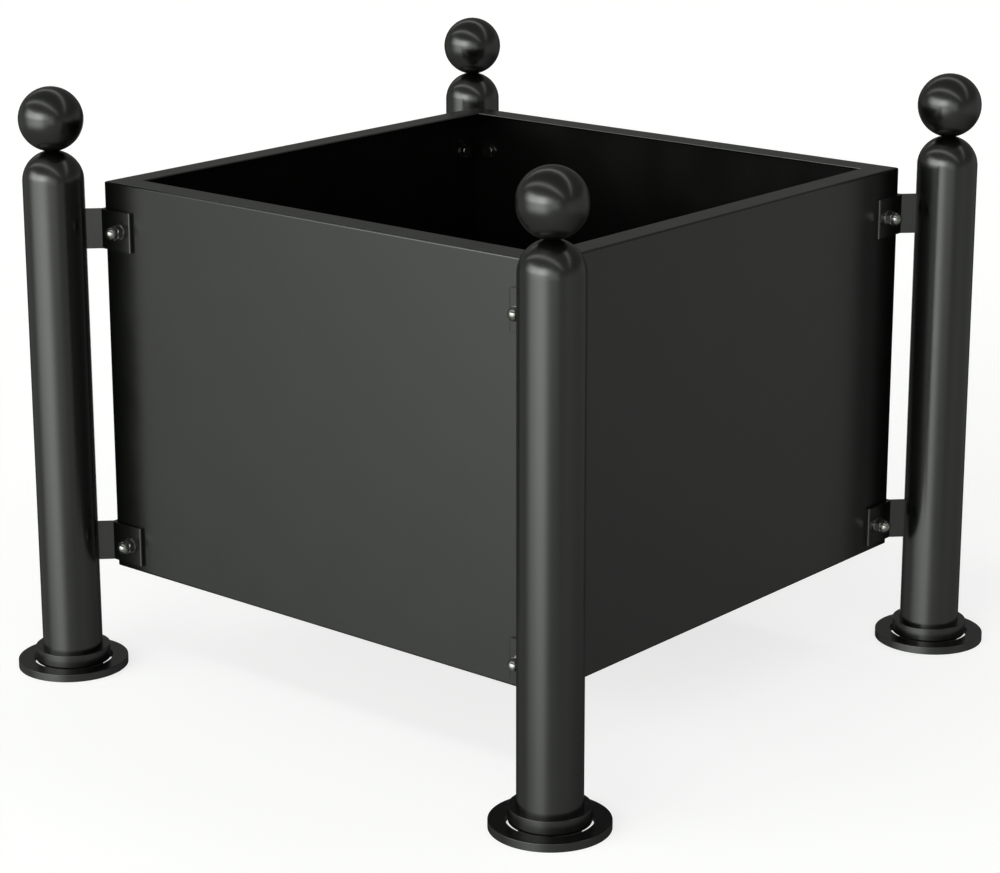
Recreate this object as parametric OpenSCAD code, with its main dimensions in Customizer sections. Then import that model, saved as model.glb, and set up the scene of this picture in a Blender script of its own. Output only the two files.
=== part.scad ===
// Square steel planter carried at its corners by four round posts with ball finials.
// Origin: centre of the footprint on the ground. Z up, front is -Y. Millimetres.

/* [Box] */
// Outer width of the square box
box_w = 705; // [450:5:1000]
// Height of the box
box_h = 500; // [300:5:700]
// Free height under the box
ground_clear = 131.5; // [80:0.5:250]
// Thickness of the wall sheets
sheet_t = 3; // [2:0.5:5]
// Inside radius of the folds
bend_r = 1.5; // [1:0.5:3]
// Width of the folded rim at the top
lip_w = 33.5; // [20:0.5:60]
// Width of the folded ledge that carries the floor
ledge_w = 30; // [20:1:60]
// Thickness of the floor sheet
floor_t = 3; // [2:0.5:5]
// Diameter of the drain holes
drain_d = 30; // [10:1:40]
// Distance of the outer drain holes from the edges of the floor
drain_inset = 140; // [60:5:160]

/* [Posts] */
// Outer diameter of the post tube
post_d = 76; // [50:1:100]
// Wall of the post tube
post_wall = 3; // [2:0.5:5]
// Height above the rim at which the dome of the post starts
post_over = 1.7; // [0.2:0.1:80]
// Distance from the box corner to the post, along the diagonal
post_gap = 24; // [16:0.5:60]

/* [Finials] */
// Diameter of the ball
ball_d = 80; // [60:1:110]
// Wall of the hollow ball
ball_wall = 3; // [2:0.5:5]
// Diameter of the flats where ball and dome meet
seat_d = 13.6; // [12:0.1:20]
// Diameter of the vent hole through both flats
vent_d = 8; // [4:0.5:10]

/* [Feet] */
// Radial width of the collar round the post
collar_w = 9.5; // [5:0.5:15]
// Height of the collar
collar_h = 18; // [10:0.5:30]
// Open gap between the collar and the base plate
foot_gap = 3; // [2:0.5:8]
// Radial width of the base plate
foot_rim = 19.5; // [12:0.5:40]
// Thickness of the base plate
foot_t = 10; // [6:0.5:15]
// Width of the tongues between base plate and post
tongue_w = 9; // [6:1:14]
// Depth of the tongues below the top of the base plate
tongue_drop = 1.5; // [0.5:0.5:4]
// Number of tongues
tongue_n = 3; // [2:1:4]
// Direction of the first tongue in degrees
tongue_turn = -50; // [-180:5:180]
// Rounding of the collar and base plate edges
edge_r = 0.8; // [0.4:0.1:1.5]

/* [Brackets] */
// Thickness of the bracket plates
bracket_t = 5; // [3:0.5:8]
// Height of the brackets
bracket_h = 50; // [35:1:65]
// Length of each angle leg, from its outer corner
leg_len = 53.5; // [45:0.5:80]
// Drop of the upper bolts below the rim
upper_drop = 59.5; // [40:0.5:120]
// Rise of the lower bolts above the box bottom
lower_rise = 34; // [30:0.5:80]
// Distance of the bolt from the end of the leg
bolt_from_end = 18; // [14:0.5:25]

/* [Fasteners] */
// Diameter of the bolt shank
bolt_d = 10; // [6:1:10]
// Length of the bolt inside the cap nut
nut_grip = 13; // [10:0.5:16]
// Radial play of the bolt in the plates and washers
hole_play = 0.5; // [0.3:0.1:1]
// Width across the flats of bolt head and nut
hex_af = 17; // [15:0.5:20]
// Height of the bolt head
head_h = 6.4; // [4:0.1:8]
// Chamfer at the tip of the bolt
tip_cut = 1; // [0.5:0.1:1.5]
// Outer diameter of the washers
washer_d = 20; // [18:0.5:24]
// Thickness of the washers
washer_t = 2; // [1:0.5:3]
// Height of the hexagon of the cap nut
nut_hex_h = 8; // [6:0.5:10]
// Step from the flats of the cap nut in to its dome
nut_step = 0.5; // [0.2:0.1:1.5]
// Metal over the end of the bore of the cap nut
nut_crown = 4; // [3:0.5:6]
// Direction of the hexagon corners in degrees
hex_turn = 30; // [0:5:60]

/* [Fits] */
// Radial play round the post and in the nut thread
fit_play = 0.1; // [0.05:0.05:0.3]
// Play of the floor sheet at the folds
floor_play = 0.4; // [0.2:0.1:1]
// Difference between the outer fold radius and the rounding inside the angle
root_play = 1.5; // [0.5:0.1:2]
// Free depth beyond the bolt end inside the nut
nut_free = 1; // [0.5:0.5:2]

/* [Hidden] */
$fn = 96;

// Turns about the centre that carry the front wall to the place of each wall
turn_front = 0;
turn_right = 90;
turn_back = 180;
turn_left = 270;
// Turns about the centre that carry the front right corner to each corner
turn_front_right = 0;
turn_back_right = 90;
turn_back_left = 180;
turn_front_left = 270;

half = box_w / 2;
fold_r = sheet_t + bend_r;
post_r = post_d / 2;
ball_r = ball_d / 2;
seat_r = seat_d / 2;
post_h = ground_clear + box_h + post_over;
// Post axis, measured from the centre along X and along Y
post_xy = half + (post_gap + post_r) / sqrt(2);
dome_rise = sqrt(post_r * post_r - seat_r * seat_r);
ball_drop = sqrt(ball_r * ball_r - seat_r * seat_r);
ball_z = post_h + dome_rise + ball_drop;
bore_r = post_r + fit_play;
tongue_t = foot_t - tongue_drop;
collar_r = post_r + collar_w;
foot_hole_r = collar_r + foot_gap;
foot_r = foot_hole_r + foot_rim;
root_r = fold_r - root_play;
// Heights of the bolts, which are those of the middle of the brackets
upper_z = ground_clear + box_h - upper_drop;
lower_z = ground_clear + lower_rise;
bolt_levels = [lower_z, upper_z];
// Bolt axis, measured from the middle of a wall
bolt_x = half + bracket_t - leg_len + bolt_from_end;
hole_r = bolt_d / 2 + hole_play;
bolt_len = sheet_t + bracket_t + 2 * washer_t + nut_grip;
hex_r = hex_af / 2 / cos(30);
nut_dome_r = hex_af / 2 - nut_step;
nut_bore = nut_grip + nut_free;
nut_h = nut_bore + nut_crown;
floor_half = half - fold_r - floor_play;
drain_xy = floor_half - drain_inset;
ledge_top = ground_clear + sheet_t;
paint = "DarkSlateGray";
steel = "Silver";

// ---- folded box ----

module rounded_square(w, r) {
    square([w, w - 2 * r], center = true);
    square([w - 2 * r, w], center = true);
    for (x = [-1, 1], y = [-1, 1])
        translate([x, y] * (w / 2 - r)) circle(r = r);
}

// Quarter of a fold; its centre is the origin and it fills the -X +Y quadrant
module quarter_fold() {
    intersection() {
        difference() {
            circle(r = fold_r);
            circle(r = bend_r);
        }
        translate([-fold_r, 0]) square(fold_r);
    }
}

// Section of a wall: X runs inward from the outer face, Y is height
module wall_section() {
    translate([0, fold_r]) square([sheet_t, box_h - 2 * fold_r]);
    translate([fold_r, box_h - sheet_t]) square([lip_w - fold_r, sheet_t]);
    translate([fold_r, 0]) square([ledge_w - fold_r, sheet_t]);
    translate([fold_r, box_h - fold_r]) quarter_fold();
    translate([fold_r, fold_r]) mirror([0, 1]) quarter_fold();
}

// One wall, mitred at both ends so that four of them close the box
module wall(turn) {
    color(paint) rotate([0, 0, turn]) difference() {
        translate([0, 0, ground_clear]) intersection() {
            translate([-half, -half, 0])
                rotate([90, 0, 90]) linear_extrude(box_w) wall_section();
            linear_extrude(box_h) rounded_square(box_w, fold_r);
            linear_extrude(box_h)
                polygon([[0, 0], [-box_w, -box_w], [box_w, -box_w]]);
        }
        wall_holes();
    }
}

module wall_holes() {
    for (x = [-bolt_x, bolt_x], z = bolt_levels)
        translate([x, -half, z]) rotate([90, 0, 0])
            cylinder(r = hole_r, h = 3 * sheet_t, center = true);
}

// Floor sheet lying on the four ledges, with its drain holes
module floor_panel() {
    color(paint) translate([0, 0, ledge_top]) linear_extrude(floor_t)
        difference() {
            square(2 * floor_half, center = true);
            circle(d = drain_d);
            for (x = [-1, 1], y = [-1, 1])
                translate([x, y] * drain_xy) circle(d = drain_d);
        }
}

// ---- posts ----

module at_post(turn) {
    rotate([0, 0, turn]) translate([post_xy, -post_xy, 0])
        rotate([0, 0, -turn]) children();
}

// Half section of a tube closed by a dome of the same radius
module domed_rod(r) {
    square([r, post_h]);
    translate([0, post_h]) intersection() {
        circle(r = r);
        square(r);
    }
}

module post(turn) {
    top = post_h + dome_rise;
    color(paint) at_post(turn) rotate_extrude() difference() {
        domed_rod(post_r);
        domed_rod(post_r - post_wall);
        translate([0, top]) square(post_r);
        square([vent_d / 2, top]);
    }
}

// Hollow ball, flattened and vented where it stands on the dome
module ball(turn) {
    color(paint) at_post(turn) translate([0, 0, ball_z]) rotate_extrude()
        difference() {
            circle(r = ball_r);
            circle(r = ball_r - ball_wall);
            translate([-ball_r, -ball_r]) square([ball_r, ball_d]);
            translate([0, -ball_r]) square([ball_r, ball_r - ball_drop]);
            translate([0, -ball_r]) square([vent_d / 2, ball_r]);
        }
}

// Rectangle from r1 to r2 whose outer corners are rounded
module edged_ring(r1, r2, h, round_bottom) {
    square_h = h - edge_r - (round_bottom ? edge_r : 0);
    translate([r1, 0]) square([r2 - r1 - edge_r, h]);
    translate([r1, round_bottom ? edge_r : 0]) square([r2 - r1, square_h]);
    translate([r2 - edge_r, h - edge_r]) circle(r = edge_r, $fn = 48);
    if (round_bottom)
        translate([r2 - edge_r, edge_r]) circle(r = edge_r, $fn = 48);
}

module collar(turn) {
    color(paint) at_post(turn) translate([0, 0, tongue_t])
        rotate_extrude() edged_ring(bore_r, collar_r, collar_h, true);
}

// Ring on the ground, held to the post by thinner tongues
module base(turn) {
    color(paint) at_post(turn) {
        rotate_extrude() edged_ring(foot_hole_r, foot_r, foot_t, false);
        linear_extrude(tongue_t) intersection() {
            for (i = [0 : tongue_n - 1])
                rotate(tongue_turn + i * 360 / tongue_n)
                    translate([0, -tongue_w / 2]) square([foot_r, tongue_w]);
            difference() {
                circle(r = foot_hole_r + foot_rim / 4);
                circle(r = bore_r);
            }
        }
    }
}

// ---- brackets ----

// Angle that lies on both faces of a box corner; z is the height of its middle
module angle(turn, z) {
    outer = half + bracket_t;
    color(paint) rotate([0, 0, turn]) translate([0, 0, z]) difference() {
        translate([outer, -outer, -bracket_h / 2]) linear_extrude(bracket_h) difference() {
            translate([-leg_len, 0]) square(leg_len);
            difference() {
                translate([-leg_len - bracket_t, bracket_t]) square(leg_len);
                root_fillet();
            }
        }
        angle_holes(outer);
    }
}

// Material left in the inner corner of the angle
module root_fillet() {
    translate([-bracket_t - root_r, bracket_t]) difference() {
        square(root_r);
        translate([0, root_r]) circle(r = root_r);
    }
}

module angle_holes(outer) {
    for (turn = [turn_front, turn_right]) {
        at = turn == turn_front ? bolt_x : -bolt_x;
        rotate([0, 0, turn]) translate([at, -outer, 0]) rotate([90, 0, 0])
            cylinder(r = hole_r, h = 3 * bracket_t, center = true);
    }
}

// Plate on the diagonal, notched over the angle and coped to the post
module web(turn, z) {
    outer = half + bracket_t;
    from = outer * sqrt(2) - bracket_t;
    to = post_xy * sqrt(2);
    color(paint) rotate([0, 0, turn - 45]) translate([0, 0, z]) difference() {
        translate([from, -bracket_t / 2, -bracket_h / 2])
            cube([to - from, bracket_t, bracket_h]);
        rotate([0, 0, 45]) cube([2 * outer, 2 * outer, 2 * bracket_h], center = true);
        translate([to, 0, 0]) cylinder(r = bore_r, h = 2 * bracket_h, center = true);
    }
}

// ---- fasteners ----

// Places children at each bolt: Z points outward, zero on the wall's outer face
module at_bolts() {
    for (turn = [turn_front, turn_right, turn_back, turn_left])
        for (x = [-bolt_x, bolt_x], z = bolt_levels)
            rotate([0, 0, turn]) translate([x, -half, z])
                rotate([90, 0, 0]) children();
}

// Hexagon whose corners are cut back by a cone at its upper end
module chamfered_hex(h) {
    cut = hex_r - hex_af / 2;
    intersection() {
        rotate([0, 0, hex_turn]) cylinder(r = hex_r, h = h, $fn = 6);
        union() {
            cylinder(r = hex_r + 1, h = h - cut);
            translate([0, 0, h - cut])
                cylinder(r1 = hex_r + cut, r2 = hex_af / 2 - cut / 2, h = cut);
        }
    }
}

module washer() {
    difference() {
        cylinder(d = washer_d, h = washer_t);
        translate([0, 0, -1]) cylinder(r = hole_r, h = washer_t + 2);
    }
}

module bolts() {
    color(steel) at_bolts() translate([0, 0, -sheet_t - washer_t]) {
        cylinder(d = bolt_d, h = bolt_len - tip_cut);
        translate([0, 0, bolt_len - tip_cut])
            cylinder(d1 = bolt_d, d2 = bolt_d - 2 * tip_cut, h = tip_cut);
        mirror([0, 0, 1]) chamfered_hex(head_h);
    }
}

module inner_washers() {
    color(steel) at_bolts() translate([0, 0, -sheet_t - washer_t]) washer();
}

module outer_washers() {
    color(steel) at_bolts() translate([0, 0, bracket_t]) washer();
}

module cap_nuts() {
    color(steel) at_bolts() translate([0, 0, bracket_t + washer_t]) difference() {
        union() {
            chamfered_hex(nut_hex_h);
            cylinder(r = nut_dome_r, h = nut_h - nut_dome_r);
            translate([0, 0, nut_h - nut_dome_r]) sphere(r = nut_dome_r);
        }
        translate([0, 0, -1]) cylinder(r = bolt_d / 2 + fit_play, h = nut_bore + 1);
    }
}

// ---- drawing ----

wall(turn_front);  // wall_front
wall(turn_right);  // wall_right
wall(turn_back);  // wall_back
wall(turn_left);  // wall_left
floor_panel();
post(turn_front_right);  // post_front_right
post(turn_back_right);  // post_back_right
post(turn_back_left);  // post_back_left
post(turn_front_left);  // post_front_left
ball(turn_front_right);  // ball_front_right
ball(turn_back_right);  // ball_back_right
ball(turn_back_left);  // ball_back_left
ball(turn_front_left);  // ball_front_left
collar(turn_front_right);  // collar_front_right
collar(turn_back_right);  // collar_back_right
collar(turn_back_left);  // collar_back_left
collar(turn_front_left);  // collar_front_left
base(turn_front_right);  // base_front_right
base(turn_back_right);  // base_back_right
base(turn_back_left);  // base_back_left
base(turn_front_left);  // base_front_left
angle(turn_front_right, upper_z);  // angle_upper_front_right
angle(turn_back_right, upper_z);  // angle_upper_back_right
angle(turn_back_left, upper_z);  // angle_upper_back_left
angle(turn_front_left, upper_z);  // angle_upper_front_left
angle(turn_front_right, lower_z);  // angle_lower_front_right
angle(turn_back_right, lower_z);  // angle_lower_back_right
angle(turn_back_left, lower_z);  // angle_lower_back_left
angle(turn_front_left, lower_z);  // angle_lower_front_left
web(turn_front_right, upper_z);  // web_upper_front_right
web(turn_back_right, upper_z);  // web_upper_back_right
web(turn_back_left, upper_z);  // web_upper_back_left
web(turn_front_left, upper_z);  // web_upper_front_left
web(turn_front_right, lower_z);  // web_lower_front_right
web(turn_back_right, lower_z);  // web_lower_back_right
web(turn_back_left, lower_z);  // web_lower_back_left
web(turn_front_left, lower_z);  // web_lower_front_left
bolts();
inner_washers();
outer_washers();
cap_nuts();
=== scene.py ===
"""Dresses a packed steel planter: a folded sheet box hung between four domed posts.

Every piece is modelled at its real size in metres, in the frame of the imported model: Z up,
the front of the box facing -Y, the origin on the ground below the middle of the box.
"""

import logging
import math
from collections.abc import Callable, Iterable
from dataclasses import dataclass
from enum import Enum
from functools import cached_property
from typing import Any

import bmesh
import bpy
from mathutils import Matrix, Vector


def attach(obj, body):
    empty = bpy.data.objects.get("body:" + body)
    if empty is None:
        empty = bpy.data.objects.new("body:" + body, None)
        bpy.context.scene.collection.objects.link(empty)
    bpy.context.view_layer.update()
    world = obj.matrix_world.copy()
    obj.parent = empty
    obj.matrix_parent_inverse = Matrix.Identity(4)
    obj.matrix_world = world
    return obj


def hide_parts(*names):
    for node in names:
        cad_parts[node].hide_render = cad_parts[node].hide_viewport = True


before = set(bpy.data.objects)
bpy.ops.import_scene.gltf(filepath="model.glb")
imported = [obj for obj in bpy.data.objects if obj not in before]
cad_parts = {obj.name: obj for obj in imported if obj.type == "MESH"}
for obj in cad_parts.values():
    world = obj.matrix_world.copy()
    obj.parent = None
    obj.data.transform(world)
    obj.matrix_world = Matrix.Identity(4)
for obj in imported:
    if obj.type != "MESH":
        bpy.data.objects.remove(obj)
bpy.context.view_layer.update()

LOG = logging.getLogger("planter")
MM = 0.001
ROOT = "root"
# Sides of a full turn: large round pieces, and those as small as a bolt
ROUND_SIDES = 96
SMALL_SIDES = 48
# Faces across a rounded edge, and across one that is hardly seen
EDGE_STEPS = 4
FINE_EDGE_STEPS = 2
# Slack for finding an edge or a face by its place
NEAR = 0.02 * MM
# Slack of a cut by a plane
CUT_SLACK = 0.0002 * MM
# Below this size an edge or face left by a cut is a sliver, and goes
SLIVER = 0.002 * MM
# An edge or a normal with more than this share of an axis runs along it
MOSTLY = 0.9
# Folds and edges that turn less than this are shaded as one surface
SMOOTH_ANGLE = math.radians(38)
# Edges that turn more than this are sharp enough to be softened
SHARP_ANGLE = math.radians(50)
# Values between which most of a noise pattern lies
NOISE_LOW = 0.3
NOISE_HIGH = 0.7


class Turned(Enum):
    """A place round the planter, by the turn in degrees that carries the first one there."""

    @property
    def label(self) -> str:
        """The place's part of a node's name."""
        return self.name.lower()

    @property
    def turn(self) -> Matrix:
        """The turn about the planter's upright axis."""
        return Matrix.Rotation(math.radians(self.value), 4, "Z")


class Corner(Turned):
    """A corner of the planter."""

    FRONT_RIGHT = 0
    BACK_RIGHT = 90
    BACK_LEFT = 180
    FRONT_LEFT = 270


class Side(Turned):
    """A side of the box."""

    FRONT = 0
    RIGHT = 90
    BACK = 180
    LEFT = 270


class Level(Enum):
    """The two heights at which the brackets are bolted to the box."""

    LOWER = "lower"
    UPPER = "upper"


class Element(Enum):
    """What is selected in edit mode, as Blender's select mode (vertex, edge, face)."""

    EDGES = (False, True, False)
    FACES = (False, False, True)


class Joining(Enum):
    """How a tool solid acts on the piece."""

    CUT = "DIFFERENCE"
    KEEP_COMMON = "INTERSECT"
    ADD = "UNION"


# Takes a face's middle and normal, or an edge's middle and direction
Test = Callable[[Vector, Vector], bool]


class Shape:
    """A mesh under work, shaped by Blender's own modelling operators."""

    def __init__(self, obj: bpy.types.Object) -> None:
        """Keeps the object that the operators work on."""
        self.obj = obj

    # ---- starting shapes ----

    @staticmethod
    def _leave() -> None:
        """Goes back to object mode with nothing selected."""
        if bpy.context.mode != "OBJECT":
            bpy.ops.object.mode_set(mode="OBJECT")
        bpy.ops.object.select_all(action="DESELECT")

    def _choose(self) -> None:
        """Selects this object, and only this one, in object mode."""
        self._leave()
        self.obj.select_set(True)
        bpy.context.view_layer.objects.active = self.obj

    @classmethod
    def _taken(cls, name: str) -> "Shape":
        """Names the primitive just added and applies its place to its mesh.

        Args:
            name: name of the piece.

        Returns:
            The shape.
        """
        obj = bpy.context.active_object
        obj.name = name
        obj.data.name = name
        bpy.ops.object.transform_apply(location=True, rotation=True, scale=True)
        return cls(obj)

    @classmethod
    def block(cls, name: str, low: Iterable[float], high: Iterable[float]) -> "Shape":
        """Starts from a block.

        Args:
            name: name of the piece.
            low: lowest corner.
            high: highest corner.

        Returns:
            The block, with its place in its mesh.
        """
        cls._leave()
        bottom, top = Vector(low), Vector(high)
        bpy.ops.mesh.primitive_cube_add(
            size=1.0, location=(bottom + top) / 2, scale=top - bottom
        )
        return cls._taken(name)

    @classmethod
    def rod(
        cls, name: str, radius: float, low: float, high: float,
        at: tuple[float, float] = (0.0, 0.0), sides: int = ROUND_SIDES,
    ) -> "Shape":
        """Starts from an upright rod.

        Args:
            name: name of the piece.
            radius: radius over the corners.
            low: height of the lower end.
            high: height of the upper end.
            at: place of the axis.
            sides: number of sides.

        Returns:
            The rod, closed by one face at each end.
        """
        cls._leave()
        bpy.ops.mesh.primitive_cylinder_add(
            vertices=sides, radius=radius, depth=high - low,
            location=(*at, (low + high) / 2), end_fill_type="NGON",
        )
        return cls._taken(name)

    @classmethod
    def ring(
        cls, name: str, outer: float, inner: float, low: float, high: float,
        at: tuple[float, float] = (0.0, 0.0), sides: int = ROUND_SIDES,
    ) -> "Shape":
        """Turns a plain ring.

        Args:
            name: name of the piece.
            outer: outer radius.
            inner: radius of the hole.
            low: height of its lower face.
            high: height of its upper face.
            at: place of the axis.
            sides: number of sides.

        Returns:
            The ring, with sharp edges.
        """
        ring = cls.rod(name, outer, low, high, at, sides)
        ring.pick_faces(lambda at, n: abs(n.z) > MOSTLY)
        ring.inset(outer - inner).delete_faces()
        return ring.pick_rims().bridge()

    @classmethod
    def ball(
        cls, name: str, radius: float, centre: Iterable[float], sides: int = ROUND_SIDES
    ) -> "Shape":
        """Starts from a ball.

        Args:
            name: name of the piece.
            radius: radius of the ball.
            centre: its middle.
            sides: number of sides of its girth.

        Returns:
            The ball, with its poles above and below.
        """
        cls._leave()
        bpy.ops.mesh.primitive_uv_sphere_add(
            segments=sides, ring_count=sides // 2, radius=radius, location=Vector(centre)
        )
        return cls._taken(name)

    # ---- edit mode ----

    def _edit(self) -> None:
        """Opens this mesh, and only this one, in edit mode."""
        if bpy.context.mode == "EDIT_MESH" and bpy.context.active_object == self.obj:
            return
        self._choose()
        bpy.ops.object.mode_set(mode="EDIT")

    def _opened(self, what: Element) -> bmesh.types.BMesh:
        """Opens this mesh in edit mode with nothing selected.

        Args:
            what: what is about to be selected.

        Returns:
            The mesh as edit mode holds it.
        """
        self._edit()
        bpy.context.tool_settings.mesh_select_mode = what.value
        bpy.ops.mesh.select_all(action="DESELECT")
        return bmesh.from_edit_mesh(self.obj.data)

    def pick_faces(self, test: Test) -> "Shape":
        """Selects the faces that pass a test, and nothing else.

        Args:
            test: takes a face's middle and its normal.

        Returns:
            This shape.
        """
        for face in self._opened(Element.FACES).faces:
            face.select_set(test(face.calc_center_median(), face.normal))
        bmesh.update_edit_mesh(self.obj.data)
        return self

    def pick_edges(self, test: Test) -> "Shape":
        """Selects the edges that pass a test, and nothing else.

        Args:
            test: takes an edge's middle and its direction.

        Returns:
            This shape.
        """
        for edge in self._opened(Element.EDGES).edges:
            start, end = (corner.co for corner in edge.verts)
            edge.select_set(test((start + end) / 2, (end - start).normalized()))
        bmesh.update_edit_mesh(self.obj.data)
        return self

    def pick_rims(self) -> "Shape":
        """Selects the open rims of the mesh.

        Returns:
            This shape.
        """
        for edge in self._opened(Element.EDGES).edges:
            edge.select_set(edge.is_boundary)
        bmesh.update_edit_mesh(self.obj.data)
        return self

    def cut_off(self, point: Iterable[float], normal: Iterable[float], fill: bool) -> "Shape":
        """Cuts the whole mesh by a plane and drops what lies on the normal's side.

        Args:
            point: a point of the plane.
            normal: direction of the side that goes.
            fill: whether the cut is closed by a face.

        Returns:
            This shape.
        """
        self._edit()
        bpy.ops.mesh.select_all(action="SELECT")
        bpy.ops.mesh.bisect(
            plane_co=Vector(point), plane_no=Vector(normal), use_fill=fill,
            clear_outer=True, threshold=CUT_SLACK,
        )
        return self

    def score(self, point: Iterable[float], normal: Iterable[float]) -> "Shape":
        """Cuts the selected faces by a plane and keeps both sides."""
        bpy.ops.mesh.bisect(
            plane_co=Vector(point), plane_no=Vector(normal), threshold=CUT_SLACK
        )
        return self

    def extrude(self, move: Iterable[float]) -> "Shape":
        """Extrudes the selection by a vector."""
        bpy.ops.mesh.extrude_region_move(TRANSFORM_OT_translate={"value": Vector(move)})
        return self

    def inset(self, width: float) -> "Shape":
        """Insets the selected faces by a width."""
        bpy.ops.mesh.inset(thickness=width, depth=0.0)
        return self

    def bevel(self, radius: float, steps: int) -> "Shape":
        """Rounds the selected edges."""
        bpy.ops.mesh.bevel(
            offset=radius, segments=steps, profile=0.5, affect="EDGES", offset_type="OFFSET"
        )
        return self

    def delete_faces(self) -> "Shape":
        """Deletes the selected faces and leaves their rims."""
        bpy.ops.mesh.delete(type="FACE")
        return self

    def bridge(self) -> "Shape":
        """Joins the two selected rims by faces."""
        bpy.ops.mesh.bridge_edge_loops()
        return self

    # ---- modifiers and finishing ----

    def modify(self, kind: str, **settings: Any) -> "Shape":
        """Adds a modifier and applies it.

        Args:
            kind: Blender's type of the modifier.
            settings: its settings by name.

        Returns:
            This shape.
        """
        self._choose()
        bpy.ops.object.modifier_add(type=kind)
        modifier = self.obj.modifiers[-1]
        for name, value in settings.items():
            setattr(modifier, name, value)
        bpy.ops.object.modifier_apply(modifier=modifier.name)
        return self

    def combine(self, tool: "Shape", how: Joining) -> "Shape":
        """Cuts, keeps or adds the tool's volume, and removes the tool.

        Args:
            tool: the other solid.
            how: what happens to its volume.

        Returns:
            This shape.
        """
        self.modify("BOOLEAN", object=tool.obj, operation=how.value, solver="EXACT")
        bpy.data.meshes.remove(tool.obj.data)
        self._edit()
        bpy.ops.mesh.select_all(action="SELECT")
        bpy.ops.mesh.remove_doubles(threshold=SLIVER)
        bpy.ops.mesh.dissolve_degenerate(threshold=SLIVER)
        self._leave()
        return self

    def hollow(self, thickness: float) -> "Shape":
        """Gives the open skin a wall that grows inward."""
        return self.modify("SOLIDIFY", thickness=thickness, offset=-1.0, use_even_offset=True)

    def join(self, others: Iterable["Shape"]) -> "Shape":
        """Takes other shapes into this one's mesh, as solids of their own.

        Args:
            others: the other shapes.

        Returns:
            This shape.
        """
        self._choose()
        for other in others:
            other.obj.select_set(True)
        bpy.ops.object.join()
        return self

    def moved(self, name: str, place: Matrix) -> "Shape":
        """Makes a copy with its own mesh.

        Args:
            name: name of the copy.
            place: what the copy's mesh is transformed by.

        Returns:
            The copy.
        """
        self._leave()
        twin = self.obj.copy()
        twin.data = self.obj.data.copy()
        twin.name = twin.data.name = name
        bpy.context.scene.collection.objects.link(twin)
        twin.data.transform(place)
        return Shape(twin)

    def smooth(self, flats: bool) -> "Shape":
        """Shades gentle turns as one surface.

        Args:
            flats: whether flat faces keep flat shading beside their rounded edges.

        Returns:
            This shape.
        """
        self._choose()
        bpy.ops.object.shade_smooth_by_angle(angle=SMOOTH_ANGLE)
        if flats:
            self.modify("WEIGHTED_NORMAL", keep_sharp=True, weight=100)
        return self

    def soften(self, radius: float) -> "Shape":
        """Rounds every sharp edge a little, as a coat of powder does."""
        return self.modify(
            "BEVEL", width=radius, segments=FINE_EDGE_STEPS, limit_method="ANGLE",
            angle_limit=SHARP_ANGLE, use_clamp_overlap=True,
        )


# ---- finishes ----


def linear(hex_colour: str) -> tuple[float, float, float, float]:
    """Turns an sRGB colour into a linear one.

    Args:
        hex_colour: six hexadecimal digits after a hash.

    Returns:
        Red, green, blue and an alpha of one.
    """
    shown = (int(hex_colour[i : i + 2], 16) / 255 for i in (1, 3, 5))
    red, green, blue = (
        c / 12.92 if c <= 0.04045 else ((c + 0.055) / 1.055) ** 2.4 for c in shown
    )
    return red, green, blue, 1.0


def add_node(tree: bpy.types.NodeTree, kind: str, links: dict[str, Any], **settings: Any) -> Any:
    """Adds a node with its settings, values and links.

    Args:
        tree: the node tree.
        kind: Blender's type of the node.
        links: a value or another node's output for each named input.
        settings: the node's own settings by name.

    Returns:
        The node.
    """
    node = tree.nodes.new(kind)
    for name, value in settings.items():
        setattr(node, name, value)
    for name, value in links.items():
        socket = node.inputs[int(name)] if name.isdigit() else node.inputs[name]
        if isinstance(value, bpy.types.NodeSocket):
            tree.links.new(value, socket)
        else:
            socket.default_value = value
    return node


@dataclass(frozen=True)
class Finish:
    """What every finish shares: a clouded colour, an uneven gloss and a relief."""

    title: str
    slot: str
    dark: str
    light: str
    gloss: float
    gloss_play: float

    def surface(self, tree: bpy.types.NodeTree, shader: Any, place: Any) -> tuple[Any, Any]:
        """Draws the relief and returns what moves the colour and what moves the gloss."""
        raise NotImplementedError

    @cached_property
    def material(self) -> bpy.types.Material:
        """Makes the material of the finish, once.

        Returns:
            The material.
        """
        material = bpy.data.materials.new(self.title)
        material.use_nodes = True
        tree = material.node_tree
        shader = tree.nodes["Principled BSDF"]
        place = add_node(tree, "ShaderNodeTexCoord", {}).outputs["Object"]
        cloud, sheen = self.surface(tree, shader, place)
        tint = add_node(
            tree, "ShaderNodeMix",
            {"Factor": cloud, "A": linear(self.dark), "B": linear(self.light)}, data_type="RGBA",
        )
        gloss = add_node(
            tree, "ShaderNodeMapRange",
            {"Value": sheen, "From Min": NOISE_LOW, "From Max": NOISE_HIGH,
             "To Min": self.gloss - self.gloss_play, "To Max": self.gloss + self.gloss_play},
        )
        tree.links.new(tint.outputs[2], shader.inputs["Base Color"])
        tree.links.new(gloss.outputs["Result"], shader.inputs["Roughness"])
        return material


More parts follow.
